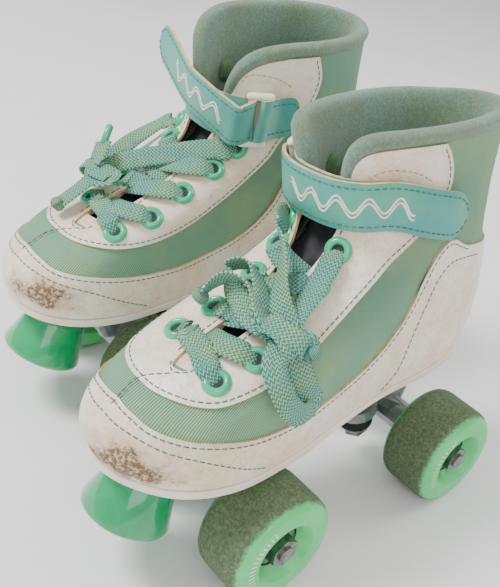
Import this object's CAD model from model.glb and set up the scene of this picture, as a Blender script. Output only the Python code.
"""The looks of a worn pair of quad roller skates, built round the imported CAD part.

Lengths in the boot functions are millimetres in a skate's own frame: x to its outer side, the heel's
back at y 0, toes towards -y, z up. Points leave them in the row frame, in metres.
"""
import math
import random

import bpy
import numpy as np
from mathutils import Matrix, Vector


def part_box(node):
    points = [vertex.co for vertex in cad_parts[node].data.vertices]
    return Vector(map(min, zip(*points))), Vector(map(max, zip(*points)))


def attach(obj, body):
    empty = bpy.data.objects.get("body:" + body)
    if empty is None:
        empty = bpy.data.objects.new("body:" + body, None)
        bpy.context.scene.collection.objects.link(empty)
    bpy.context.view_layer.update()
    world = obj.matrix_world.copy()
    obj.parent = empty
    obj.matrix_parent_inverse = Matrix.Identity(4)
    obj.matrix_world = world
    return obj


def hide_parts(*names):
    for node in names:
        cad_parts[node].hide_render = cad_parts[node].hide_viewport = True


MM = 0.001
TURNING_POINT_Y = -120
FRONT_AXLE_Y = -151.7
REAR_AXLE_Y = -33
WHEEL_X = 40.3
WHEEL_RADIUS = 27
STRAP_HALF_WIDTH = 10.7
LACE_WIDTH = 10.2
PANEL = 1.1
LACE_THICKNESS = 1.3
STRAP_THICKNESS = 2.0
FOOT_LENGTH = 212

# About how many millimetres one turn round the boot and its whole height are.
TURN_AND_HEIGHT = np.array([260.0, 130.0])
STRIP_SCALE = np.array([250.0, 130.0, 1.0])

# Seams on the boot, as (around, up): around is 0 at the heel, 0.25 outside, 0.5 at the toe.
BAND_TOP = [
    (0.5, 0.32), (0.465, 0.302), (0.438, 0.277), (0.406, 0.256), (0.376, 0.236), (0.346, 0.214),
    (0.311, 0.19), (0.285, 0.185), (0.25, 0.208), (0.226, 0.27), (0.215, 0.36), (0.214, 0.45),
    (0.219, 0.54), (0.232, 0.62), (0.241, 0.665), (0.232, 0.687), (0.206, 0.672), (0.154, 0.608),
    (0.08, 0.55), (0.0, 0.53),
]
BAND_BOTTOM_AROUND = (
    0.5, 0.465, 0.438, 0.406, 0.376, 0.346, 0.311, 0.285, 0.255, 0.23,
    0.21, 0.19, 0.172, 0.154, 0.136, 0.118, 0.1, 0.07, 0.035, 0.0,
)
BAND_BOTTOM = [(around, 0) for around in BAND_BOTTOM_AROUND]
LEFT_EYESTAY = [
    (0.5, 0.386), (0.457, 0.38), (0.424, 0.372), (0.4, 0.374), (0.383, 0.396), (0.368, 0.436),
    (0.354, 0.516), (0.353, 0.576), (0.35, 0.648), (0.345, 0.698), (0.326, 0.73), (0.304, 0.76),
    (0.284, 0.805), (0.272, 0.852), (0.271, 0.9), (0.278, 0.945), (0.286, 0.975),
]
RIGHT_EYESTAY = [
    (0.5, 0.412), (0.457, 0.404), (0.42, 0.393), (0.386, 0.379), (0.358, 0.378), (0.334, 0.398),
    (0.317, 0.44), (0.309, 0.5), (0.306, 0.56), (0.306, 0.62), (0.308, 0.67), (0.311, 0.71),
    (0.301, 0.745), (0.284, 0.775), (0.268, 0.815), (0.253, 0.87), (0.249, 0.91), (0.256, 0.975),
]
LEFT_EYELETS = {
    -1: [(0.426, 0.452), (0.412, 0.518), (0.419, 0.592), (0.431, 0.66), (0.442, 0.729)],
    1: [(0.533, 0.508), (0.527, 0.572), (0.532, 0.64), (0.548, 0.69), (0.562, 0.735)],
}
RIGHT_EYELETS = {
    -1: [(0.478, 0.524), (0.477, 0.586), (0.472, 0.64), (0.452, 0.68), (0.425, 0.71)],
    1: [(0.581, 0.464), (0.604, 0.52), (0.599, 0.6), (0.601, 0.66), (0.606, 0.716)],
}
LEFT_BAR = [(0.45, 0.482), (0.475, 0.508), (0.513, 0.518)]
RIGHT_BAR = [(0.556, 0.494), (0.539, 0.514), (0.499, 0.53)]
TOE_STITCH = [
    (0.5, 0.262), (0.457, 0.244), (0.418, 0.21), (0.388, 0.176), (0.36, 0.12), (0.325, 0.02),
]
COUNTER_STITCH = [
    (0.206, 0.01), (0.193, 0.104), (0.19, 0.276), (0.19, 0.42), (0.192, 0.528), (0.184, 0.575),
    (0.16, 0.57), (0.12, 0.535),
]
ANKLE_ARC = [(0.413, 0.89), (0.397, 0.914), (0.368, 0.922), (0.333, 0.908), (0.306, 0.88)]
LEFT_COLLAR = [
    (0.449, 0.8), (0.449, 0.87), (0.44, 0.925), (0.42, 0.967), (0.39, 0.985), (0.34, 0.99),
    (0.25, 0.99), (0.15, 0.99), (0.05, 0.99), (0.0, 0.99),
]
RIGHT_COLLAR = [
    (0.449, 0.79), (0.447, 0.83), (0.432, 0.875), (0.402, 0.93), (0.362, 0.968), (0.31, 0.987),
    (0.25, 0.99), (0.15, 0.99), (0.05, 0.99), (0.0, 0.99),
]

# The scuffed patch's middle, and how far it spreads.
TOE_SCUFFS = {"left": ((0.452, 0.1), (0.085, 0.16)), "right": ((0.56, 0.14), (0.07, 0.14))}
LINING_DISCS = {"left": (0.668, 0.828), "right": (0.332, 0.824)}

# How far each crossing strip climbs from its eyelet to the near rim, and to where it dives.
CROSSING_LEVELS = ((0.012, 0.02), (-0.006, -0.012), (-0.01, -0.016))

# Free laces, as (around, up, millimetres off the boot), and how far each strip is turned on edge.
LACE_ROUTES = {
    "left": [
        [
            (0.442, 0.729, 0.6), (0.438, 0.704, 4.6), (0.431, 0.676, 5), (0.417, 0.632, 7),
            (0.412, 0.6, 8.5), (0.403, 0.562, 9), (0.394, 0.528, 10), (0.388, 0.496, 10.5),
            (0.378, 0.464, 10), (0.362, 0.416, 9), (0.344, 0.356, 8), (0.321, 0.29, 7),
            (0.309, 0.3, 5.4), (0.324, 0.368, 4.4), (0.35, 0.46, 4.6), (0.372, 0.516, 6),
            (0.386, 0.54, 8), (0.376, 0.54, 10), (0.364, 0.522, 9.5),
        ],
        [
            (0.562, 0.735, 0.6), (0.55, 0.748, 4), (0.53, 0.752, 9), (0.513, 0.735, 13),
            (0.507, 0.7, 14), (0.463, 0.64, 12.5), (0.413, 0.58, 10), (0.405, 0.562, 9),
            (0.435, 0.572, 10), (0.46, 0.608, 12.5), (0.492, 0.63, 14.5), (0.511, 0.628, 15),
            (0.527, 0.612, 13), (0.508, 0.6, 10.5), (0.485, 0.594, 9.5), (0.456, 0.578, 8.5),
            (0.41, 0.562, 8.5), (0.428, 0.568, 11.5), (0.465, 0.604, 14), (0.489, 0.61, 15.5),
            (0.51, 0.602, 15), (0.524, 0.582, 12.5), (0.53, 0.562, 10),
        ],
    ],
    "right": [
        [
            (0.606, 0.716, 0.6), (0.59, 0.703, 4.4), (0.57, 0.7, 5), (0.532, 0.672, 6),
            (0.493, 0.628, 7.5), (0.46, 0.576, 9), (0.475, 0.528, 9.5), (0.481, 0.496, 9),
            (0.482, 0.456, 8),
        ],
        [
            (0.425, 0.71, 0.6), (0.42, 0.69, 4.5), (0.4, 0.665, 6), (0.41, 0.62, 8),
            (0.433, 0.588, 9), (0.443, 0.55, 10), (0.492, 0.548, 10.5), (0.506, 0.564, 12),
            (0.468, 0.55, 13.5), (0.463, 0.56, 16), (0.451, 0.584, 20),
        ],
    ],
}

# Turned outlines, as (radius, distance along the axis).
EYELET = [
    (2.7, -1.5), (2.7, 0.7), (3.1, 1.5), (3.9, 2.0), (4.8, 1.8), (5.6, 1.1), (6.05, 0.3), (6.1, -0.4),
]
AGLET = [(0, -1), (1.9, -1), (1.9, 9), (1.2, 10), (0, 10)]
TUFT = [(0, -2), (2.6, -1.5), (3.6, 0), (3.9, 2), (2.8, 3.6), (0, 4.2)]
TOE_STOP = [
    (0, 0), (16, 0), (18.6, 0.5), (20.0, 1.6), (20.4, 3.4), (14.9, 22.6), (14.2, 23.8), (12.5, 24),
    (5, 24),
]
TOE_STOP_FOOT = (0, -198, 26.3)
WHEEL_HALF = [
    (11.2, 8.8), (11.6, 9.6), (12.4, 10.6), (15.0, 15.4), (15.6, 15.9), (16.6, 16), (21.5, 15.8),
    (24.0, 15.0), (25.6, 13.6), (26.6, 11.6), (27, 9.0), (27, 4.0), (27, 0),
]
LACE_ROLLS = {
    "left": [
        [0, 15, 20, 10, 0, 0, 0, -10, -25, -10, 0, 0],
        [0, 50, 75, 60, 35, 10, 40, 60, 75, 50, 20, 10, 45, 65, 70, 50],
    ],
    "right": [[0, 10, 30, 35, 30, 0, 0], [0, 20, 35, 30, 0, 0, 10, 0]],
}
KNOTS = {"left": (0.4, 0.55, 10.0), "right": (0.455, 0.553, 10.0)}

# The strap loop's two bars, and where a flap folds round the front one: around, then millimetres
# off the boot.
LOOP_BARS, LOOP_LIFT = (0.606, 0.637), 5.4
STRAP_FOLD = [(0.611, 2.8), (0.6145, 5.4), (0.611, 8.2)]

# The right skate's open flap beyond the loop, in that skate's frame.
OPEN_FLAP = [
    (-30, -114.5, 159.2), (-25, -118.5, 161.5), (-12.6, -122.5, 165.8), (2.5, -122.7, 168.2),
    (14.9, -121, 172), (29.5, -119, 177.9), (41.8, -117, 181.6),
]

# The camera that the photo was matched with: degrees, millimetres, and shares of the sensor.
CAMERA = {
    "azimuth": 43.7, "elevation": 29.31, "roll": 12.8, "distance": 454.64, "lens": 52.1663,
    "shift": (-0.104344, -0.00109), "target": (18.51, 35.58, 80.0),
}
SENSOR = 36

random.seed(4)

# ---- Curves and the boot's surface, as in the CAD part ------------------------------------


def smooth(values):
    """A curve through evenly spaced values, read at 0..1 (Catmull-Rom)."""
    v = np.array(values, float)
    padded = np.concatenate([[2 * v[0] - v[1]], v, [2 * v[-1] - v[-2]]])

    def read(position):
        along = np.clip(position, 0, 1) * (len(v) - 1)
        i = np.minimum(along.astype(int) if isinstance(along, np.ndarray) else int(along), len(v) - 2)
        f = along - i
        a, b, c, d = padded[i], padded[i + 1], padded[i + 2], padded[i + 3]
        return b + 0.5 * f * (c - a + f * (2 * a - 5 * b + 4 * c - d + f * (3 * (b - c) + d - a)))

    return read


OUTER_HALF_WIDTH = smooth([0, 15.5, 25.5, 29, 28, 31, 36.3, 38, 31, 16, 0])
INNER_HALF_WIDTH = smooth([0, 15.5, 25, 27.5, 24.5, 24.5, 29.5, 32.5, 28.5, 17.5, 0])
BACK_Z = smooth([80, 88, 98, 109, 120, 132, 144, 156, 169, 182, 195])
FRONT_Z = smooth([65, 73, 82, 91, 99, 107, 119, 137, 156, 173, 188])
BACK_Y = smooth([-3, -1, 0, -0.5, -2.5, -5.5, -9, -11, -10.5, -8.5, -6])
FRONT_Y = smooth([-212, -216, -215, -208, -195, -177, -150, -121, -113, -116, -122])
FULLNESS = smooth([0.97, 1, 1, 0.98, 0.95, 0.92, 0.88, 0.84, 0.8, 0.8, 0.82])
OVALNESS = smooth([0, 0, 0.02, 0.05, 0.12, 0.24, 0.45, 0.75, 1, 1, 1])

THROAT_HALF = smooth([0.016, 0.02, 0.021, 0.024, 0.032, 0.045, 0.06, 0.085, 0.14])
THROAT_SHIFT = smooth([1, 1, 1, 0.6, 0.2, 0, 0, 0, 0])
THROAT_START, THROAT_TOP, WIDEST_THROAT = 0.465, 0.999, 0.052


class Skate:
    """One skate: where it stands, and its boot's surface."""

    def __init__(self, side, mirrored, turn, shaft, strap_up, throat_offset, seams):
        self.side, self.mirrored, self.turn = side, mirrored, turn
        self.lean, self.rise, self.outer_rise, self.forward = shaft
        self.strap_up, self.throat_offset = strap_up, throat_offset
        self.eyestay, self.eyelets, self.bar, self.collar = seams
        self.near_side = 1 if mirrored else -1
        self.offset = np.zeros(3)
        low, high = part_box(f"{side}_front_axle")
        axle = np.array((low + high) / 2) / MM
        self.offset = axle - self.placed(np.array([0.0, FRONT_AXLE_Y, WHEEL_RADIUS])) / MM

    def name(self, part):
        return f"{self.side}_{part}"

    def placed(self, points):
        """Row-frame points, in metres, for points in this skate's frame."""
        p = np.array(points, float)
        x = -p[..., 0] if self.mirrored else p[..., 0]
        y = p[..., 1] - TURNING_POINT_Y
        c, s = math.cos(self.turn), math.sin(self.turn)
        turned = np.stack([c * x - s * y, s * x + c * y + TURNING_POINT_Y, p[..., 2]], -1)
        return (turned + self.offset) * MM

    def surface(self, around, up):
        s, h = np.broadcast_arrays(np.mod(around, 1.0), np.array(up, float))
        is_outer = s < 0.5
        tau = np.where(is_outer, 2 * s, 2 - 2 * s)
        u = (1 - np.cos(2 * np.pi * s)) / 2
        oval = OVALNESS(h)
        foot = np.where(is_outer, OUTER_HALF_WIDTH(tau), INNER_HALF_WIDTH(tau))
        blunt = np.where(tau > 0.5, 1 - 0.3 * oval, 1.0)
        ankle = 40 * np.clip(np.sin(np.pi * tau), 0, 1) ** blunt
        shaft = np.clip((h - 0.45) / 0.55, 0, 1) ** 1.5
        half_width = FULLNESS(h) * ((1 - oval) * foot + oval * ankle)
        x = np.where(is_outer, 1, -1) * half_width + self.lean * shaft
        back = BACK_Y(h) - self.forward * shaft
        y = back + (FRONT_Y(h) - back) * u
        arch = 7.5 * np.clip(1 - 2 * h, 0, 1) ** 2 * np.sin(np.pi * u**1.3)
        outside = (1 + np.clip(x / 30, -1, 1)) / 2
        lift = shaft * (self.rise + self.outer_rise * outside)
        z = BACK_Z(h) + (FRONT_Z(h) - BACK_Z(h)) * u - arch + lift
        return np.stack([x, y, z], -1)

    def normal(self, around, up):
        step = 2e-3
        low, high = np.clip(np.array(up) - step, 0, 1), np.clip(np.array(up) + step, 0, 1)
        s = np.array(around)
        sideways = self.surface(s + step, up) - self.surface(s - step, up)
        upwards = self.surface(around, high) - self.surface(around, low)
        n = np.cross(upwards, sideways)
        return n / np.maximum(np.linalg.norm(n, axis=-1, keepdims=True), 1e-9)

    def throat_edge(self, up, side):
        """The throat's edge, in turns: side is -1 for the outer edge, 1 for the inner one."""
        along = np.clip((np.array(up) - THROAT_START) / (THROAT_TOP - THROAT_START), 0, 1)
        half = np.minimum(THROAT_HALF(along), WIDEST_THROAT)
        return 0.5 + self.throat_offset * THROAT_SHIFT(along) + side * half

    def point(self, around, up, distance=0.0):
        """Points this many millimetres off the boot."""
        d = np.array(distance, float)
        return self.surface(around, up) + self.normal(around, up) * d[..., None]


def curve(points, samples):
    """Points evenly spaced by length along a smooth curve through the given ones."""
    p = np.array(points, float)
    fine = np.linspace(0, 1, 40 * len(p))
    dense = np.stack([smooth(p[:, k])(fine) for k in range(p.shape[1])], -1)
    length = run_length(dense)
    at = np.linspace(0, length[-1], samples)
    return np.stack([np.interp(at, length, dense[:, k]) for k in range(p.shape[1])], -1)


def run_length(path):
    """How far along the path each of its points is."""
    return np.concatenate([[0], np.cumsum(np.linalg.norm(np.diff(path, axis=0), axis=1))])


def unit(v):
    return v / np.maximum(np.linalg.norm(v, axis=-1, keepdims=True), 1e-12)


def on_side(points, side):
    """A seam of the outer side, moved to the inner side where side is 1."""
    return [(1 - s, h) for s, h in points] if side == 1 else points


# ---- Meshes -------------------------------------------------------------------------------


class Builder:
    """Collects grids into one mesh, with a material and a texture coordinate for each."""

    def __init__(self, name, skate):
        self.name, self.skate = name, skate
        self.points, self.faces, self.slots, self.coords, self.wear = [], [], [], [], []
        self.materials, self.count = [], 0

    def grid(self, points, material, coords=None, wrap=False, wear=None):
        """Adds a grid of points (rows, columns, 3), in the skate's frame."""
        rows, columns = points.shape[:2]
        if material not in self.materials:
            self.materials.append(material)
        slot = self.materials.index(material)
        index = np.arange(rows * columns).reshape(rows, columns) + self.count
        right = np.roll(index, -1, 1) if wrap else index[:, 1:]
        here = index if wrap else index[:, :-1]
        quads = np.stack([here[:-1], right[:-1], right[1:], here[1:]], -1).reshape(-1, 4)
        self.faces.extend(quads.tolist())
        self.slots.extend([slot] * len(quads))
        self.points.append(points.reshape(-1, 3))
        self.coords.append(np.zeros((rows * columns, 2)) if coords is None else coords.reshape(-1, 2))
        self.wear.append(np.zeros(rows * columns) if wear is None else wear.reshape(-1))
        self.count += rows * columns

    def finish(self, body, replaces=()):
        mesh = bpy.data.meshes.new(self.name)
        placed = self.skate.placed(np.concatenate(self.points))
        faces = [face[::-1] for face in self.faces] if self.skate.mirrored else self.faces
        mesh.from_pydata(placed.tolist(), [], faces)
        for material in self.materials:
            mesh.materials.append(material)
        mesh.polygons.foreach_set("material_index", self.slots)
        mesh.polygons.foreach_set("use_smooth", [True] * len(mesh.polygons))
        weave = np.concatenate([np.concatenate(self.coords), np.zeros((self.count, 1))], 1)
        weave_layer = mesh.attributes.new("weave", "FLOAT_VECTOR", "POINT")
        weave_layer.data.foreach_set("vector", weave.ravel())
        wear_layer = mesh.attributes.new("wear", "FLOAT", "POINT")
        wear_layer.data.foreach_set("value", np.concatenate(self.wear))
        mesh.update()
        obj = bpy.data.objects.new(self.name, mesh)
        bpy.context.scene.collection.objects.link(obj)
        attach(obj, body)
        if replaces:
            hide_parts(*replaces)
        return obj


def lathe(builder, profile, centre, axis, material, sides=48, coords=True):
    """A turned grid: the profile's points are (radius, distance along the axis)."""
    axis = unit(np.array(axis, float))
    side = unit(np.cross(axis, [0.3, 0.1, 1.0] if abs(axis[2]) < 0.9 else [1.0, 0, 0]))
    other = np.cross(axis, side)
    angle = np.linspace(0, 2 * np.pi, sides, endpoint=False)
    ring = np.cos(angle)[:, None] * side + np.sin(angle)[:, None] * other
    profile = np.array(profile, float)
    radius, along = profile[:, None, 0, None], profile[:, None, 1, None]
    points = np.array(centre) + along * axis + radius * ring[None]
    if coords:
        uv = np.stack(np.broadcast_arrays(angle[None] * 10, profile[:, :1]), -1)
    builder.grid(points, material, uv if coords else None, wrap=True)


def ribbon(builder, path, normals, width, thickness, material, taper=None):
    """A flat strip with soft edges, swept along a path."""
    round_edge, columns = 0.5, 7
    along = unit(np.gradient(path, axis=0))
    normals = unit(normals - along * np.sum(normals * along, -1, keepdims=True))
    across = np.cross(along, normals)
    half = width / 2 * (np.ones(len(path)) if taper is None else taper)
    angle = np.concatenate([np.linspace(-1, 1, columns), np.linspace(1, -1, columns)])
    lift = np.concatenate([np.ones(columns), -np.ones(columns)]) * thickness / 2
    lift = lift * (1 - np.abs(angle) ** 4 * round_edge)
    sideways = across[:, None] * (angle[None, :, None] * half[:, None, None])
    ring = sideways + normals[:, None] * lift[None, :, None]
    length = run_length(path)
    uv = np.stack(np.broadcast_arrays(length[:, None], angle[None] * half[:, None]), -1)
    points = path[:, None] + ring
    closing = [np.repeat(end.mean(0)[None, None], ring.shape[1], 1) for end in points[[0, -1]]]
    points = np.concatenate([closing[0], points, closing[1]])
    uv = np.concatenate([uv[:1], uv, uv[-1:]])
    builder.grid(points, material, uv, wrap=True)


# ---- Materials ----------------------------------------------------------------------------


def srgb(red, green, blue):
    """A colour named by its 0..255 screen values."""
    return tuple(((c / 255) ** 2.2) for c in (red, green, blue)) + (1.0,)


class Graph:
    """A procedural material under construction."""

    def __init__(self, name, roughness=0.5, **sockets):
        self.material = bpy.data.materials.new(name)
        self.material.use_nodes = True
        self.tree = self.material.node_tree
        self.shader = self.tree.nodes["Principled BSDF"]
        named = {key.replace("_", " "): value for key, value in sockets.items()}
        self.set(self.shader, {"Roughness": roughness, **named})

    def set(self, node, inputs):
        for key, value in inputs.items():
            if isinstance(value, bpy.types.NodeSocket):
                self.tree.links.new(value, node.inputs[key])
            else:
                node.inputs[key].default_value = value
        return node

    def node(self, kind, inputs=None, **settings):
        node = self.tree.nodes.new("ShaderNode" + kind)
        for key, value in settings.items():
            setattr(node, key, value)
        return self.set(node, inputs or {})

    def place(self):
        return self.node("TexCoord").outputs["Object"]

    def attribute(self, name, output="Fac"):
        return self.node("Attribute", attribute_name=name).outputs[output]

    def noise(self, size_mm, detail=4.0, vector=None, roughness=0.6):
        inputs = {"Vector": vector or self.place(), "Scale": 1 / (size_mm * MM), "Detail": detail}
        return self.node("TexNoise", {**inputs, "Roughness": roughness}).outputs["Fac"]

    def math(self, operation, a, b=0.0):
        return self.node("Math", {0: a, 1: b}, operation=operation).outputs[0]

    def scaled(self, value, factor):
        return self.math("MULTIPLY", value, factor)

    def step(self, value, low, high):
        """0 below low, 1 above high, smooth between."""
        inputs = {"Value": value, "From Min": low, "From Max": high}
        return self.node("MapRange", inputs, interpolation_type="SMOOTHSTEP").outputs[0]

    def mix(self, factor, a, b):
        node = self.node("Mix", data_type="RGBA")
        self.set(node, {0: factor})
        for socket, value in ((node.inputs[6], a), (node.inputs[7], b)):
            if isinstance(value, bpy.types.NodeSocket):
                self.tree.links.new(value, socket)
            else:
                socket.default_value = value
        return node.outputs[2]

    def colour(self, value):
        self.set(self.shader, {"Base Color": value})

    def bump(self, height, millimetres, strength=1.0):
        inputs = {"Height": height, "Distance": millimetres * MM, "Strength": strength}
        previous = self.shader.inputs["Normal"].links
        if previous:
            inputs["Normal"] = previous[0].from_socket
        self.set(self.shader, {"Normal": self.node("Bump", inputs).outputs["Normal"]})

    def weave_axes(self):
        split = self.node("SeparateXYZ", {0: self.attribute("weave", "Vector")})
        return split.outputs["X"], split.outputs["Y"]


def vinyl(name, light, warm, dirt):
    """Creased, slightly yellowed vinyl, scuffed where the wear attribute says."""
    g = Graph(name, roughness=0.42)
    colour = g.mix(g.step(g.noise(30), 0.35, 0.68), light, warm)
    grime = g.scaled(g.step(g.noise(2.6, 9), 0.56, 0.72), 0.4)
    colour = g.mix(grime, colour, dirt)
    smears = g.scaled(g.step(g.noise(11, 7), 0.56, 0.72), 0.3)
    colour = g.mix(smears, colour, srgb(206, 184, 156))
    wear = g.attribute("wear")
    patches = g.math("ADD", wear, g.scaled(g.math("SUBTRACT", g.noise(9, 9), 0.5), 1.5))
    scuffed = g.step(patches, 0.5, 0.8)
    peeled = g.mix(g.step(g.noise(1.6, 8), 0.38, 0.55), srgb(212, 186, 150), srgb(122, 98, 72))
    scuff_colour = g.mix(g.step(g.noise(1.0, 9), 0.56, 0.66), peeled, srgb(58, 44, 34))
    colour = g.mix(scuffed, colour, scuff_colour)
    smudge = g.scaled(g.step(patches, 0.2, 0.6), 0.4)
    around_scuffs = g.scaled(smudge, g.math("SUBTRACT", 1.0, scuffed))
    g.colour(g.mix(around_scuffs, colour, srgb(190, 164, 132)))
    g.set(g.shader, {"Roughness": g.math("ADD", 0.38, g.scaled(scuffed, 0.45))})
    g.bump(g.noise(1.1, 3), 0.07, 0.5)
    g.bump(g.noise(12, 3), 1.1, 0.4)
    creases = g.math("ABSOLUTE", g.math("SUBTRACT", g.noise(7, 5), 0.5))
    g.bump(g.step(creases, 0.0, 0.03), 0.25, 0.6)
    g.bump(g.scaled(scuffed, g.noise(0.9, 8)), 0.7, 0.8)
    return g.material


def corduroy():
    g = Graph("teal_corduroy", roughness=0.85)
    u, _ = g.weave_axes()
    ribs = g.math("SINE", g.scaled(u, 2 * math.pi / 1.25))
    height = g.math("POWER", g.math("ADD", g.scaled(ribs, 0.5), 0.5), 0.6)
    worn = g.mix(g.step(g.noise(45), 0.35, 0.65), srgb(152, 184, 142), srgb(128, 174, 144))
    valley = g.mix(g.step(g.noise(45), 0.35, 0.65), srgb(92, 128, 92), srgb(72, 120, 98))
    colour = g.mix(height, valley, worn)
    speck = g.step(g.noise(2.4, 3), 0.72, 0.76)
    g.colour(g.mix(g.scaled(speck, 0.6), colour, srgb(110, 88, 58)))
    g.bump(height, 0.35, 0.9)
    g.bump(g.noise(0.5, 4), 0.15, 0.6)
    return g.material


def fleece():
    g = Graph("fleece", roughness=0.95)
    g.set(g.shader, {"Sheen Weight": 0.4, "Sheen Roughness": 0.6})
    tone = g.mix(g.step(g.noise(26), 0.38, 0.64), srgb(112, 140, 104), srgb(112, 152, 132))
    g.colour(g.mix(g.step(g.noise(1.1, 6), 0.35, 0.7), g.mix(0.5, tone, srgb(58, 72, 54)), tone))
    g.bump(g.noise(0.9, 6, roughness=0.85), 0.8, 1.0)
    g.bump(g.noise(5, 3), 0.9, 0.5)
    return g.material


def strap_vinyl():
    g = Graph("strap_teal_vinyl", roughness=0.36)
    colour = g.mix(g.step(g.noise(24), 0.35, 0.7), srgb(70, 150, 144), srgb(90, 164, 138))
    grime = g.scaled(g.step(g.noise(2.4, 7), 0.6, 0.75), 0.3)
    g.colour(g.mix(grime, colour, srgb(70, 120, 112)))
    g.bump(g.noise(0.8, 3), 0.05, 0.5)
    g.bump(g.noise(9, 2), 0.5, 0.3)
    return g.material


def woven_lace():
    """Columns of small chevrons, as in a flat braided lace."""
    g = Graph("mint_lace", roughness=0.8)
    u, v = g.weave_axes()
    column = g.scaled(v, 1 / 1.9)
    zigzag = g.math("ABSOLUTE", g.math("SUBTRACT", g.math("FRACT", g.math("ADD", column, 20.5)), 0.5))
    phase = g.math("ADD", g.scaled(u, 1 / 2.0), g.scaled(zigzag, 1.6))
    wave = g.math("ADD", g.scaled(g.math("SINE", g.scaled(phase, 2 * math.pi)), 0.5), 0.5)
    tone = g.mix(g.step(g.noise(16), 0.38, 0.62), srgb(148, 190, 150), srgb(118, 180, 164))
    dark = g.mix(g.step(g.noise(16), 0.38, 0.62), srgb(56, 104, 74), srgb(42, 98, 88))
    g.colour(g.mix(g.step(wave, 0.06, 0.42), dark, tone))
    g.bump(wave, 0.45, 1.0)
    g.bump(g.noise(0.5, 4), 0.12, 0.6)
    return g.material


def plain(name, a, b, roughness, size=12, bump_size=1.0, bump_mm=0.05, **sockets):
    """Two close tones and a fine grain."""
    g = Graph(name, roughness, **sockets)
    g.colour(g.mix(g.step(g.noise(size), 0.35, 0.68), a, b))
    g.bump(g.noise(bump_size, 5), bump_mm, 0.7)
    return g.material


def wheel_material():
    """Mint polyurethane, rubbed dark where the wear attribute says."""
    g = Graph("wheel_mint", roughness=0.32)
    clean = g.mix(g.step(g.noise(20), 0.4, 0.65), srgb(78, 196, 112), srgb(92, 206, 128))
    wear = g.attribute("wear")
    edge = g.math("ADD", wear, g.scaled(g.math("SUBTRACT", g.noise(2.2, 9), 0.5), 0.9))
    dark = g.mix(g.step(g.noise(1.3, 9), 0.35, 0.7), srgb(74, 84, 60), srgb(98, 124, 88))
    rubbed = g.step(edge, 0.3, 0.85)
    g.colour(g.mix(rubbed, clean, dark))
    g.set(g.shader, {"Roughness": g.math("ADD", 0.28, g.scaled(rubbed, 0.5))})
    g.bump(g.scaled(wear, g.noise(0.8, 6)), 0.25, 0.8)
    return g.material


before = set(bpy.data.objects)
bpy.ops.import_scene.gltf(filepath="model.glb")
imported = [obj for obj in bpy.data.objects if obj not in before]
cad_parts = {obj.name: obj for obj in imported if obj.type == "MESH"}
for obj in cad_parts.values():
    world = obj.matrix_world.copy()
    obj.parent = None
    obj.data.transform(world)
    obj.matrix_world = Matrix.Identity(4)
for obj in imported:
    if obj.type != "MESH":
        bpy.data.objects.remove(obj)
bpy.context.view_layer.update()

VINYL = vinyl("cream_vinyl", srgb(238, 228, 212), srgb(228, 206, 174), srgb(160, 138, 108))
CORDUROY = corduroy()
FLEECE = fleece()
STRAP = strap_vinyl()
LACE = woven_lace()
RAW_EDGE = plain("tan_raw_edge", srgb(216, 184, 142), srgb(186, 148, 104), 0.8, 4, 0.6, 0.2)
THREAD = plain("green_thread", srgb(72, 128, 104), srgb(46, 92, 76), 0.7, 3, 0.3, 0.05)
TAN_THREAD = plain("tan_thread", srgb(190, 160, 120), srgb(150, 118, 84), 0.7, 3, 0.3, 0.05)
BROWN_THREAD = plain("brown_thread", srgb(120, 88, 58), srgb(92, 66, 44), 0.7, 3, 0.3, 0.05)
WHITE_THREAD = plain("white_thread", srgb(236, 232, 222), srgb(214, 208, 196), 0.7, 3, 0.3, 0.05)
FACING = plain("lilac_facing", srgb(168, 166, 176), srgb(132, 132, 146), 0.9, 8, 0.5, 0.15)
DISC_CLOTH = plain("disc_cloth", srgb(96, 128, 92), srgb(74, 104, 76), 0.9, 3, 0.7, 0.3)
TONGUE = plain("dark_tongue", srgb(62, 62, 66), srgb(40, 44, 48), 0.9, 9, 0.6, 0.2)
FUZZ = plain("beige_loop_pile", srgb(206, 192, 172), srgb(170, 152, 132), 0.95, 3, 0.5, 0.4)
GLOSS_MINT = plain(
    "eyelet_mint", srgb(62, 182, 132), srgb(50, 168, 124), 0.16, 10, 2, 0.02, Coat_Weight=0.5)
STOP_MINT = plain(
    "toe_stop_mint", srgb(14, 142, 88), srgb(30, 158, 98), 0.14, 18, 3, 0.05, Coat_Weight=0.6)
SOLE = plain("outsole_cream", srgb(236, 226, 214), srgb(228, 212, 190), 0.48, 30, 1.2, 0.05)
WHITE_PLASTIC = plain("white_plastic", srgb(240, 238, 230), srgb(232, 226, 212), 0.25, 14, 2, 0.02)
STEEL = plain("steel", srgb(150, 148, 144), srgb(112, 108, 104), 0.3, 3, 0.6, 0.05, Metallic=1.0)
ALUMINIUM = plain(
    "cast_aluminium", srgb(176, 178, 180), srgb(150, 152, 156), 0.45, 8, 0.8, 0.1, Metallic=0.9)
BLACK_RUBBER = plain("black_rubber", srgb(34, 35, 37), srgb(24, 25, 27), 0.75, 6, 0.7, 0.08)
BACKSTAY = plain("tan_backstay", srgb(214, 196, 172), srgb(184, 160, 130), 0.85, 6, 0.8, 0.5)
WHEEL = wheel_material()

LEFT = Skate(
    "left", False, math.radians(2), (-9, -1, 10, 0), 0.84, -0.023,
    (LEFT_EYESTAY, LEFT_EYELETS, LEFT_BAR, LEFT_COLLAR))
RIGHT = Skate(
    "right", True, math.radians(-0.3), (1, 7, 4, 12), 0.795, 0.025,
    (RIGHT_EYESTAY, RIGHT_EYELETS, RIGHT_BAR, RIGHT_COLLAR))
SKATES = (LEFT, RIGHT)


def both_sides(points):
    """A line from the outer throat edge round the heel to the inner one."""
    return list(points) + [(-s, h) for s, h in reversed(points[:-1])]


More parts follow.
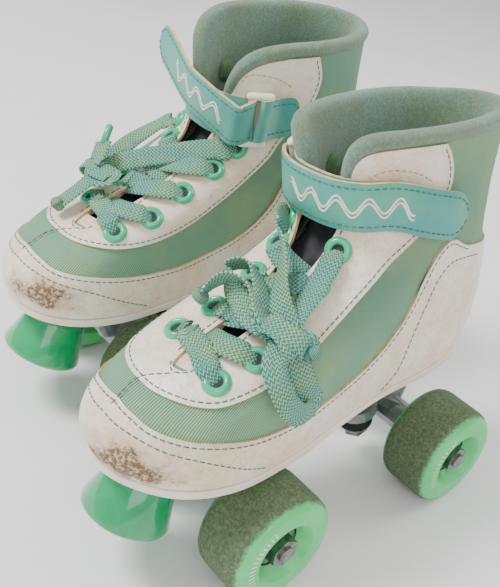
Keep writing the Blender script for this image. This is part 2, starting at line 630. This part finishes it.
def eyestay_inner(skate, side):
    """The eyestay's inner edge on one side, from the throat's toe end to the back of the collar."""
    toe = 0.5 + skate.throat_offset
    levels = np.arange(0.485, skate.collar[1][1], 0.03)
    rising = [(float(skate.throat_edge(up, side)), up) for up in levels]
    start = [(toe, 0.455), (toe + side * 0.011, 0.459)]
    collar = [(0.5 + side * (0.5 - around), up - 0.014) for around, up in skate.collar[2:6]]
    return start + rising + collar


def collar_height(skate, around):
    """How high the upper reaches: it falls away at the throat's corners."""
    edge = np.array(skate.collar)
    from_front = np.abs(np.mod(around, 1.0) - 0.5)
    return np.interp(from_front, 0.5 - edge[1:, 0], edge[1:, 1])


# ---- Boot upper ---------------------------------------------------------------------------


def arc_coords(skate, around, up):
    """Millimetres round and up the boot, for ribs and weaves."""
    s = np.linspace(-0.6, 1.1, 1200)
    line = skate.surface(s, 0.3)
    length = run_length(line)
    return np.stack([np.interp(around, s, length), np.array(up) * 130.0], -1)


def toe_wear(skate, around, up):
    """1 where the toe is scuffed through, 0 elsewhere."""
    (middle, level), (width, height) = TOE_SCUFFS[skate.side]
    ds, dh = (np.mod(around, 1) - middle) / width, (np.array(up) - level) / height
    return np.clip(1.15 - np.hypot(ds, dh), 0, 1)


def surface_grid(builder, skate, around, up, distance, material):
    points = skate.point(around, up, distance)
    wear = toe_wear(skate, around, up)
    builder.grid(points, material, arc_coords(skate, around, up), wear=wear)


def gusset(skate, builder):
    """The vinyl that closes the throat's toe end."""
    side, up = np.meshgrid(np.linspace(-1.3, 1.3, 9), np.linspace(0.452, 0.498, 10))
    around = 0.5 + skate.throat_offset + side * 0.022
    surface_grid(builder, skate, around, up, -0.25 - 12 * np.maximum(up - 0.485, 0), VINYL)


def fabric_base(skate, builder):
    """The corduroy layer that the panels are sewn on: below the throat, then round the ankle."""
    around, up = np.meshgrid(np.linspace(-0.5, 0.5, 161), np.linspace(0, THROAT_START, 42))
    surface_grid(builder, skate, around, up, 0, CORDUROY)
    level = np.linspace(THROAT_START, 0.99, 56)
    q = np.linspace(0, 1, 141)[None]
    start, end = skate.throat_edge(level, 1)[:, None] - 1, skate.throat_edge(level, -1)[:, None]
    around = start + q * (end - start)
    share = (level[:, None] - THROAT_START) / (0.99 - THROAT_START)
    up = THROAT_START + share * (collar_height(skate, around) - THROAT_START)
    surface_grid(builder, skate, around, up, 0, CORDUROY)
    inner = skate.point(around, up, -2.8)
    builder.grid(inner[:, ::-1], FACING)
    gusset(skate, builder)
    for column in (0, -1):
        outer_edge, inner_edge = skate.point(around, up)[:, column], inner[:, column]
        rim = np.stack([outer_edge, (outer_edge + inner_edge) / 2, inner_edge], 1)
        builder.grid(rim if column == 0 else rim[:, ::-1], RAW_EDGE)


def seam_curve(points, samples):
    """Evenly spaced (around, up) places along a seam."""
    return curve(np.array(points) * TURN_AND_HEIGHT, samples) / TURN_AND_HEIGHT


def knot_curve(points, samples):
    """(around, up) places along a seam, evenly spaced between its points."""
    places = np.array(points)
    return np.stack([smooth(places[:, k])(np.linspace(0, 1, samples)) for k in (0, 1)], -1)


def panel(builder, skate, first, last, rows, samples, material=None, thickness=PANEL,
          raw=(True, True), spacing=knot_curve):
    """A sewn-on layer between two seams, with its cut edges turned down to the fabric."""
    a, b = spacing(first, samples), spacing(last, samples)
    share = np.linspace(0, 1, rows)[:, None, None]
    place = a[None] * (1 - share) + b[None] * share
    around, up = place[..., 0], place[..., 1]
    flip = (around[0, -1] - around[0, 0]) * (up[-1, 0] - up[0, 0]) > 0
    top = skate.point(around, up, thickness)
    coords, wear = arc_coords(skate, around, up), toe_wear(skate, around, up)
    order = slice(None, None, -1) if flip else slice(None)
    builder.grid(top[:, order], material or VINYL, coords[:, order], wear=wear[:, order])
    for row, wanted in ((0, raw[0]), (-1, raw[1])):
        if not wanted:
            continue
        s, h = around[row], up[row]
        levels = [thickness, thickness * 0.55, -0.3]
        wall = np.stack([skate.point(s, h, level) for level in levels])
        builder.grid(wall if (row == 0) == flip else wall[:, ::-1], RAW_EDGE)


def stitches(builder, path, normals, material=None, pitch=3.1, length=2.5, radius=0.3):
    """A row of short raised threads along a path."""
    distance = run_length(path)
    starts = np.arange(0.6, distance[-1] - length, pitch)
    share = np.array([0, 0.12, 0.5, 0.88, 1.0])
    at = starts[:, None] + share[None] * length
    centre = np.stack([np.interp(at, distance, path[:, k]) for k in range(3)], -1)
    normal = unit(np.stack([np.interp(at, distance, normals[:, k]) for k in range(3)], -1))
    along = unit(centre[:, -1:] - centre[:, :1])
    across = np.cross(np.broadcast_to(along, normal.shape), normal)
    centre = centre + normal * (np.array([-0.35, 0.05, 0.3, 0.05, -0.35])[None, :, None] * radius)
    thickness = radius * np.array([0.35, 0.9, 1.0, 0.9, 0.35])[None, :, None, None]
    angle = np.linspace(0, 2 * np.pi, 6, endpoint=False)
    ring = across[:, :, None] * np.cos(angle)[:, None] + normal[:, :, None] * np.sin(angle)[:, None]
    for points in centre[:, :, None] + ring * thickness:
        builder.grid(points, material or THREAD, wrap=True)


def seam_stitches(builder, skate, seam, inset=0.0, lift=PANEL, **options):
    """Stitches along a seam on the boot, moved sideways by inset."""
    around, up = seam_curve(seam, 30 * len(seam)).T
    path = skate.point(around, up, lift)
    normals = skate.normal(around, up)
    side = np.cross(unit(np.gradient(path, axis=0)), normals)
    stitches(builder, path + side * inset, normals, **options)


def upper(skate):
    builder = Builder(skate.name("upper_shell"), skate)
    sewing = Builder(skate.name("upper_stitching"), skate)
    middle = 0.5 + skate.throat_offset
    fabric_base(skate, builder)
    for side in (-1, 1):
        band_top, eyestay = on_side(BAND_TOP, side), on_side(skate.eyestay, side)
        inner_edge = eyestay_inner(skate, side)
        panel(builder, skate, on_side(BAND_BOTTOM, side), band_top, 22, 220, raw=(False, True))
        panel(builder, skate, inner_edge, eyestay, 16, 240, spacing=seam_curve)
        seam_stitches(sewing, skate, band_top[:-2], inset=-2.0 * side)
        seam_stitches(sewing, skate, eyestay, inset=2.0 * side)
        seam_stitches(sewing, skate, inner_edge[2:-4], inset=-2.2 * side)
        for seam in (TOE_STITCH, COUNTER_STITCH):
            seam_stitches(sewing, skate, on_side(seam, side))
        arc = on_side(ANKLE_ARC, side)
        seam_stitches(sewing, skate, arc, material=TAN_THREAD, radius=0.25)
        toe_end = [(middle, 0.444), (middle + side * 0.012, 0.455), (middle + side * 0.02, 0.475)]
        seam_stitches(sewing, skate, toe_end)
    backstay = [[(around, up) for up in (0.02, 0.5, 0.985)] for around in (0.024, -0.024)]
    panel(builder, skate, *backstay, 7, 60, BACKSTAY, 2.4)
    centre_seam = [(middle, 0.442), (0.503, 0.39), (0.5, 0.31), (0.5, 0.27)]
    seam_stitches(sewing, skate, centre_seam, material=BROWN_THREAD)
    body = skate.name("boot")
    builder.finish(body, [skate.name("upper")])
    sewing.finish(body)


# ---- Lining, tongue and insole ------------------------------------------------------------


def lining(skate):
    """The fleece sleeve: it climbs the inside, rolls over the collar and ends on the outside."""
    builder = Builder(skate.name("fleece_lining"), skate)
    edge = curve(both_sides(skate.collar), 200)
    around, up = edge[:, 0], edge[:, 1]
    roll = [(-9.5, -0.45), (-8.5, -0.32), (-7.8, -0.2), (-7.4, -0.1), (-7.2, -0.045), (-6.8, -0.005)]
    rows = []
    for distance, below in roll:
        level = np.maximum(up + below, 0.3)
        rows.append(skate.point(around, level, distance))
    crest = skate.point(around, up, -2.4)
    outward = skate.normal(around, up)
    along = unit(np.gradient(crest, axis=0))
    lift = np.cross(outward, along)
    lift *= np.sign(lift[100, 2])
    for angle in np.linspace(165, -60, 12):
        a = math.radians(angle)
        rows.append(crest + outward * math.cos(a) * 3.9 + lift * (math.sin(a) * 3.6 + 0.6))
    points = np.stack(rows)
    grid_shape = points.shape[:2]
    wobble = np.array([random.uniform(-0.12, 0.12) for _ in range(math.prod(grid_shape))])
    points += wobble.reshape(grid_shape)[..., None] * outward[None]
    coords = arc_coords(skate, *np.broadcast_arrays(around[None], up[None] + 0 * points[..., 0]))
    builder.grid(points, FLEECE, coords)
    obj = builder.finish(skate.name("boot"), [skate.name("lining")])
    return obj


def tongue_and_insole(skate):
    builder = Builder(skate.name("tongue_cloth"), skate)
    level = np.linspace(0.42, 0.79, 30)
    spread = np.linspace(-1, 1, 21)
    half = smooth([0.05, 0.07, 0.08, 0.085, 0.08, 0.05])(np.linspace(0, 1, 30))[:, None]
    around = 0.5 + half * spread[None]
    up = np.broadcast_to(level[:, None], around.shape)
    outer = skate.point(around, up, -8.4)
    inner = skate.point(around, up, -12.2)
    ring = np.concatenate([outer, inner[:, ::-1]], 1)
    builder.grid(ring, TONGUE, wrap=True)
    builder.finish(skate.name("boot"), [skate.name("tongue")])
    insole = Builder(skate.name("insole"), skate)
    q = np.linspace(0.01, 0.5, 60)
    share = np.linspace(0, 1, 12)[:, None, None]
    a = skate.point(q, 0.085, -2.9)
    b = skate.point(1 - q, 0.085, -2.9)
    insole.grid(a[None] * (1 - share) + b[None] * share, TONGUE)
    insole.finish(skate.name("boot"))


def disc(skate):
    """A small round of ribbed cloth, sewn on the lining."""
    builder = Builder(skate.name("lining_disc"), skate)
    around, up = LINING_DISCS[skate.side]
    centre = skate.point(around, up, -8.0)
    inward = -skate.normal(around, up)
    lathe(builder, [(0, 1.9), (3.5, 1.7), (5.6, 0.9), (6.8, -0.6)], centre, inward, DISC_CLOTH, 28)
    builder.finish(skate.name("boot"))


# ---- Eyelets and laces --------------------------------------------------------------------


def eyelets(skate):
    builder = Builder(skate.name("eyelets"), skate)
    for places in skate.eyelets.values():
        for around, up in places:
            centre = skate.point(around, up, PANEL)
            normal = skate.normal(around, up)
            lathe(builder, EYELET, centre, normal, GLOSS_MINT, 32, False)
            lathe(builder, [(0, 0.15), (2.8, 0.15)], centre, normal, TONGUE, 16, False)
    builder.finish(skate.name("boot"))


def route_curve(route, samples):
    """Evenly spaced around, up and distance values along a route of such places."""
    return (curve(np.array(route) * STRIP_SCALE, samples) / STRIP_SCALE).T


def on_boot(skate, route, samples):
    """Path and normals for a route of (around, up, distance)."""
    around, up, distance = route_curve(route, samples)
    return skate.point(around, up, distance), skate.normal(around, up)


def eyelet_end(eyelet, towards):
    """A strip's first points: down in the hole, then over the ring's near rim."""
    start, aim = np.array(eyelet), np.array(towards)
    step = (aim - start) * TURN_AND_HEIGHT
    leave = start + (aim - start) / np.linalg.norm(step) * 5.2
    return [(*start, 0.7), (*leave, 4.1)]


def lace_crossings(skate):
    """The bar between the lowest eyelets, then strips that dive under the throat's other edge."""
    builder = Builder(skate.name("lace_crossings"), skate)
    near, far = skate.eyelets[skate.near_side], skate.eyelets[-skate.near_side]
    bar = eyelet_end(near[0], skate.bar[0]) + [(*place, 3.6) for place in skate.bar]
    bar += eyelet_end(far[0], skate.bar[-1])[::-1]
    routes = [bar]
    far_strips = -skate.near_side, far, 2.5, 0.2
    near_strips = skate.near_side, near, 3.7, 0.9
    for side, eyelets_here, rim_lift, dive_lift in (far_strips, near_strips):
        for (around, level), (climb, drop) in zip(eyelets_here[1:4], CROSSING_LEVELS):
            rim, other = (float(skate.throat_edge(level, edge)) for edge in (side, -side))
            routes.append(eyelet_end((around, level), (rim, level + climb)) + [
                (rim, level + climb, rim_lift),
                (other + side * 0.008, level + drop, dive_lift),
                (other - side * 0.018, level + drop, -4.2),
            ])
    for route in routes:
        path, normals = on_boot(skate, route, 60)
        distance = run_length(path)
        taper = np.clip(0.5 + distance / 11, 0, 1)
        if route is bar:
            taper = np.minimum(taper, taper[::-1])
        ribbon(builder, path, normals, LACE_WIDTH, LACE_THICKNESS, LACE, taper)
    builder.finish(skate.name("boot"), [skate.name("lace")])


def rolled(path, normals, degrees):
    """Normals turned about the path, so that a strip is seen more from its edge."""
    along = unit(np.gradient(path, axis=0))
    across = np.cross(along, normals)
    angle = np.radians(degrees)[:, None]
    return normals * np.cos(angle) + across * np.sin(angle)


def knot(skate, builder):
    """The wrap of lace round the crossing strands."""
    around, up, distance = KNOTS[skate.side]
    centre = skate.point(around, up, distance)
    normal = skate.normal(around, up)
    toe_wards = unit(skate.surface(around, up - 0.02) - skate.surface(around, up))
    sideways = np.cross(normal, toe_wards)
    for tilt, radius, offset in ((0.2, 5.4, 0.0), (-0.22, 5.0, 1.2)):
        angle = np.linspace(0, 2 * np.pi, 40)
        axis = unit(toe_wards + sideways * tilt)
        other = np.cross(axis, normal)
        out = np.cos(angle)[:, None] * other * 1.75 + np.sin(angle)[:, None] * normal * 0.8
        path = centre + out * radius + axis * offset
        ribbon(builder, path, unit(out), LACE_WIDTH * 0.85, 1.5, LACE)


def free_laces(skate):
    for i, route in enumerate(LACE_ROUTES[skate.side]):
        builder = Builder(skate.name(f"free_lace_{i + 1}"), skate)
        path, normals = on_boot(skate, route, 180)
        normals = rolled(path, normals, smooth(LACE_ROLLS[skate.side][i])(np.linspace(0, 1, 180)))
        distance = run_length(path)
        taper = np.clip(0.5 + distance / 12, 0, 1)
        ribbon(builder, path, normals, LACE_WIDTH, LACE_THICKNESS, LACE, taper)
        obj = builder.finish(skate.name("boot"), [skate.name("lace_ends")])
        row = skate.placed(path)
        aglet = Builder(skate.name(f"aglet_{i + 1}"), skate)
        direction = unit(path[-1] - path[-4])
        if skate.mirrored and i == 1:
            lathe(aglet, AGLET, path[-1], direction, GLOSS_MINT, 16, False)
        else:
            lathe(aglet, TUFT, path[-1], direction, LACE, 16)
        tip = aglet.finish(skate.name("boot"))
    wraps = Builder(skate.name("knot"), skate)
    knot(skate, wraps)
    wraps.finish(skate.name("boot"))


# ---- Ankle strap --------------------------------------------------------------------------


def strap_strip(builder, path, rise, normal, tip=None):
    """A vinyl strip: smooth outside, pile inside, tan cut edges. tip rounds its last end."""
    n = len(path)
    half = np.full(n, STRAP_HALF_WIDTH)
    if tip:
        distance = run_length(path)
        left = np.clip((distance[-1] - distance) / tip, 0, 1)
        half = STRAP_HALF_WIDTH * np.sqrt(np.maximum(1 - (1 - left) ** 2, 0.0006))
    across = np.linspace(-1, 1, 9)
    flat = path[:, None] + rise[:, None] * (across[None, :, None] * half[:, None, None])
    pillow = 0.35 * (1 - across**4)
    outside = flat + normal[:, None] * (STRAP_THICKNESS / 2 - 0.35 + pillow)[None, :, None]
    inside = flat - normal[:, None] * STRAP_THICKNESS / 2
    builder.grid(outside, STRAP)
    builder.grid(inside[:, ::-1], FUZZ)
    border_out = np.concatenate([outside[:, 0], outside[-1, 1:], outside[::-1, -1][1:]])
    border_in = np.concatenate([inside[:, 0], inside[-1, 1:], inside[::-1, -1][1:]])
    side = unit(border_out - path.mean(0)) * 0.25
    wall = np.stack([border_out, border_out * 0.6 + border_in * 0.4 + side, border_in])
    builder.grid(wall, RAW_EDGE)
    return outside


def strap_path(skate, route, samples):
    """A strip's middle line, the direction of its width and its normals."""
    around, up, distance = route_curve(route, samples)
    middle = skate.point(around, up, distance)
    rise = unit(skate.point(around, up + 0.03, distance) - skate.point(around, up - 0.03, distance))
    normal = skate.normal(around, up)
    return middle, rise, unit(normal - rise * np.sum(normal * rise, -1, keepdims=True))


def strap_stitching(sewing, outside, normal, inset=0.78):
    """Thread rows near both edges of a strip."""
    for column in (-inset, inset):
        at = (column + 1) / 2 * (outside.shape[1] - 1)
        i = int(at)
        path = outside[:, i] * (1 - at + i) + outside[:, i + 1] * (at - i)
        stitches(sewing, path, normal, radius=0.34)


def strap_loop(skate):
    """The white plastic loop: two bars that the straps fold round, and two rounded ends."""
    builder = Builder(skate.name("strap_loop_plastic"), skate)
    up, between = skate.strap_up, 0.62
    front, rear = (skate.point(around, up, LOOP_LIFT) for around in LOOP_BARS)
    rise = unit(skate.point(between, up + 0.03) - skate.point(between, up - 0.03))
    for bar in (front, rear):
        lathe(builder, capsule(11.5, 1.6), bar, rise, WHITE_PLASTIC, 20)
    for end in (-1, 1):
        centre = (front + rear) / 2 + rise * end * 12.1
        lathe(builder, capsule(5.2, 2.1), centre, rear - front, WHITE_PLASTIC, 24)
    builder.finish(skate.name("loop_set"), [skate.name("strap_loop")])


def capsule(half_length, radius):
    """The profile of a bar with round ends."""
    turns = np.radians(np.linspace(-90, 0, 6))
    start = [(radius * math.cos(a), radius * math.sin(a) - half_length) for a in turns]
    return start + [(r, -along) for r, along in reversed(start)]


def strap_wave(sewing, middle, rise, normal):
    """Two plain wavy white lines printed along the flap."""
    distance = run_length(middle)
    chosen = (distance > 0.24 * distance[-1]) & (distance < 0.74 * distance[-1])
    wave = 3.4 * np.sin(2 * np.pi * distance / 13)
    for offset in (-1.0, 1.0):
        path = middle + rise * (wave + offset)[:, None] + normal * 1.0
        ribbon(sewing, path[chosen], normal[chosen], 0.9, 0.5, WHITE_THREAD)


def straps(skate):
    side, up = skate.side, skate.strap_up
    base = Builder(skate.name("strap_base_vinyl"), skate)
    sewing = Builder(skate.name("strap_base_stitching"), skate)
    route = [(around, up, 2.4) for around in (0.37, 0.42, 0.5, 0.595)]
    middle, rise, normal = strap_path(skate, route, 50)
    outside = strap_strip(base, middle, rise, normal)
    base.finish(skate.name("boot"), [skate.name("strap_base")])

    flap = Builder(skate.name("strap_flap_vinyl"), skate)
    flap_sewing = Builder(skate.name("strap_flap_stitching"), skate)
    if side == "left":
        closed = [(0.6, up, 8.6), (0.58, up, 7.6), (0.54, up, 5.8), (0.48, up, 5.4), (0.42, up, 5.4),
                  (0.37, up, 5.4), (0.31, up - 0.033, 5.4), (0.245, up - 0.069, 5.2)]
        folded = [(around, up, lift) for around, lift in STRAP_FOLD]
        middle, rise, normal = strap_path(skate, folded + closed, 110)
    else:
        fold = [skate.point(around, up, lift) for around, lift in STRAP_FOLD]
        middle = curve(np.concatenate([fold, OPEN_FLAP]), 110)
        share = np.clip(np.linspace(-0.12, 1, 110), 0, 1)[:, None]
        along = unit(np.gradient(middle, axis=0))
        lean = np.concatenate([-0.1 - 0.5 * share, 0 * share - 0.15, 0 * share + 1], 1)
        rise = unit(lean - along * np.sum(along * lean, -1, keepdims=True))
        normal = unit(np.cross(along, rise))
    outside = strap_strip(flap, middle, rise, normal, tip=9)
    strap_stitching(flap_sewing, outside, normal)
    strap_wave(flap_sewing, middle, rise, normal)
    flap_sewing.finish(skate.name("flap_set"))
    flap.finish(skate.name("flap_set"), [skate.name("strap_flap")])

    tab = Builder(skate.name("loop_tab_vinyl"), skate)
    route = [(0.6225, up, 7.0), (0.63, up, 8.2), (0.64, up, 7.0), (0.652, up, 4.4), (0.667, up, 2.4),
             (0.687, up, 2.0), (0.707, up, 2.0)]
    middle, rise, normal = strap_path(skate, route, 40)
    outside = strap_strip(tab, middle, rise, normal, tip=7)
    strap_stitching(sewing, outside[12:], normal[12:], 0.7)
    tab.finish(skate.name("boot"), [skate.name("loop_tab")])
    sewing.finish(skate.name("boot"))


# ---- Sole, toe stop, wheels ---------------------------------------------------------------


def sole_bottom(y):
    """The sole's underside, which falls from the heel and rises a little at the toe."""
    t = -y / FOOT_LENGTH
    slope = np.clip((t - 0.03) / 0.57, 0, 1)
    return 74.8 - 17.3 * slope + 3 * np.clip((t - 0.8) / 0.2, 0, 1) ** 2


def outsole(skate):
    """The sole's edge, rounded below, with three ribs round the heel."""
    builder = Builder(skate.name("outsole_rubber"), skate)
    around = (np.arange(220) + 0.5) / 220
    line = skate.surface(around, np.zeros(220))
    tangent = unit(np.gradient(np.vstack([line[-1:], line, line[:1]]), axis=0)[1:-1] * [1, 1, 0])
    out = np.stack([tangent[:, 1], -tangent[:, 0], 0 * around], -1)
    out *= np.sign(np.sum(out * (line - [0, -105, 0]), -1, keepdims=True))
    top = line[:, 2] - 0.4
    low = sole_bottom(line[:, 1])
    heel = np.clip((line[:, 1] + 95) / 40, 0, 1)
    rows = []
    for share in np.linspace(0, 1, 25):
        rounding = 2.2 * max(0, 1 - share / 0.22) ** 2 + 1.0 * max(0, (share - 0.9) / 0.1) ** 2
        rib = 0.7 * heel * math.cos(share * 3.5 * 2 * math.pi)
        reach = 1.7 - rounding + rib * (0.1 < share < 0.95)
        p = line + out * np.array(reach)[..., None]
        p[:, 2] = low + (top - low) * share
        rows.append(p)
    centre = line * [0.0, 1, 0]
    inner_low = centre + out * 0
    inner_low[:, 2] = low
    inner_top = centre.copy()
    inner_top[:, 2] = top
    builder.grid(np.stack([inner_low, *rows, inner_top]), SOLE, wrap=True)
    builder.finish(skate.name("boot"), [skate.name("outsole")])


def toe_stop(skate):
    builder = Builder(skate.name("toe_stop_rubber"), skate)
    tilt = math.radians(23.8)
    axis = (0, math.sin(tilt), math.cos(tilt))
    lathe(builder, TOE_STOP, TOE_STOP_FOOT, axis, STOP_MINT, 72, False)
    builder.finish(skate.name("boot"), [skate.name("toe_stop")])


def wheel(skate, end, lateral):
    name = f"{end}_{lateral}_wheel"
    builder = Builder(skate.name(name + "_tyre"), skate)
    y = FRONT_AXLE_Y if end == "front" else REAR_AXLE_Y
    sign = 1 if lateral == "outer" else -1
    profile = WHEEL_HALF + [(r, -a) for r, a in reversed(WHEEL_HALF[:-1])]
    wear = np.array([np.clip((r - 24.2) / 2.6, 0, 1) for r, _ in profile])
    lathe(builder, profile, (sign * WHEEL_X, y, WHEEL_RADIUS), (sign, 0, 0), WHEEL, 96)
    builder.wear[-1] = np.repeat(wear, 96)
    ticks(builder, (sign * WHEEL_X, y, WHEEL_RADIUS), sign)
    builder.finish(skate.name(name + "_set"), [skate.name(name)])


def ticks(builder, centre, sign):
    """Short white printed marks on part of the wheel's outer side."""
    for angle in np.linspace(150, 240, 14):
        a = math.radians(angle) * -sign
        for side in (-1, 1):
            radii = np.linspace(17.6, 20.6, 4)
            spread = np.array([-0.3, 0.3])
            radial = np.array([0, math.cos(a), math.sin(a)])
            across = np.array([0, -math.sin(a), math.cos(a)])
            points = np.array(centre) + radii[:, None, None] * radial + spread[None, :, None] * across
            points = points + np.array([side * 16.08, 0, 0])
            points[..., 0] -= side * np.clip(radii - 18, 0, 9)[:, None] * 0.03
            builder.grid(points, WHITE_PLASTIC)


# ---- Frame nodes that stay visible --------------------------------------------------------


def finish_frame_nodes():
    looks = {
        "plate": WHITE_PLASTIC, "truck": ALUMINIUM, "axle": STEEL, "kingpin": STEEL, "bearings": STEEL,
        "cushion": BLACK_RUBBER,
    }
    for name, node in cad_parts.items():
        for word, material in looks.items():
            if name.endswith(word):
                node.data.materials.clear()
                node.data.materials.append(material)
                bevel = node.modifiers.new("soft_edges", "BEVEL")
                bevel.width = 0.4 * MM
                bevel.segments = 2
                bevel.limit_method = "ANGLE"
                bevel.angle_limit = math.radians(40)


# ---- Stage --------------------------------------------------------------------------------


def camera():
    az, el, roll = (math.radians(CAMERA[k]) for k in ("azimuth", "elevation", "roll"))
    towards = np.array([math.sin(az) * math.cos(el), -math.cos(az) * math.cos(el), math.sin(el)])
    x = unit(np.cross([0, 0, 1], towards))
    y = np.cross(towards, x)
    right, up = math.cos(roll) * x + math.sin(roll) * y, -math.sin(roll) * x + math.cos(roll) * y
    data = bpy.data.cameras.new("photo_camera")
    data.sensor_width = SENSOR
    data.lens = CAMERA["lens"]
    data.shift_x, data.shift_y = CAMERA["shift"]
    obj = bpy.data.objects.new("photo_camera", data)
    bpy.context.scene.collection.objects.link(obj)
    place = (np.array(CAMERA["target"]) + CAMERA["distance"] * towards) * MM
    matrix = np.eye(4)
    matrix[:3, 0], matrix[:3, 1], matrix[:3, 2], matrix[:3, 3] = right, up, towards, place
    obj.matrix_world = Matrix(matrix.tolist())
    bpy.context.scene.camera = obj


def light(name, place, size, watts, target=(0, 0, 0.08), colour=(1, 1, 1)):
    data = bpy.data.lights.new(name, "AREA")
    data.size, data.energy, data.color = size, watts, colour
    obj = bpy.data.objects.new(name, data)
    bpy.context.scene.collection.objects.link(obj)
    obj.location = place
    obj.rotation_euler = (Vector(target) - Vector(place)).to_track_quat("-Z", "Y").to_euler()


def stage():
    bpy.ops.mesh.primitive_plane_add(size=6)
    floor = bpy.context.object
    floor.name = "floor"
    pale = plain("pale_floor", srgb(244, 244, 244), srgb(240, 240, 240), 0.7, 200, 5, 0.01)
    floor.data.materials.append(pale)
    world = bpy.data.worlds.new("soft_studio")
    world.use_nodes = True
    world.node_tree.nodes["Background"].inputs["Color"].default_value = (1, 1, 1, 1)
    world.node_tree.nodes["Background"].inputs["Strength"].default_value = 0.65
    bpy.context.scene.world = world
    light("key", (-0.5, -0.75, 1.3), 0.5, 30)
    light("fill", (1.0, -0.5, 0.7), 0.9, 7)
    light("back", (0.3, 1.1, 0.9), 0.6, 8)


for skate in SKATES:
    upper(skate)
    lining(skate)
    tongue_and_insole(skate)
    disc(skate)
    eyelets(skate)
    lace_crossings(skate)
    free_laces(skate)
    straps(skate)
    strap_loop(skate)
    outsole(skate)
    toe_stop(skate)
    for end in ("front", "rear"):
        for lateral in ("outer", "inner"):
            wheel(skate, end, lateral)
finish_frame_nodes()
camera()
stage()
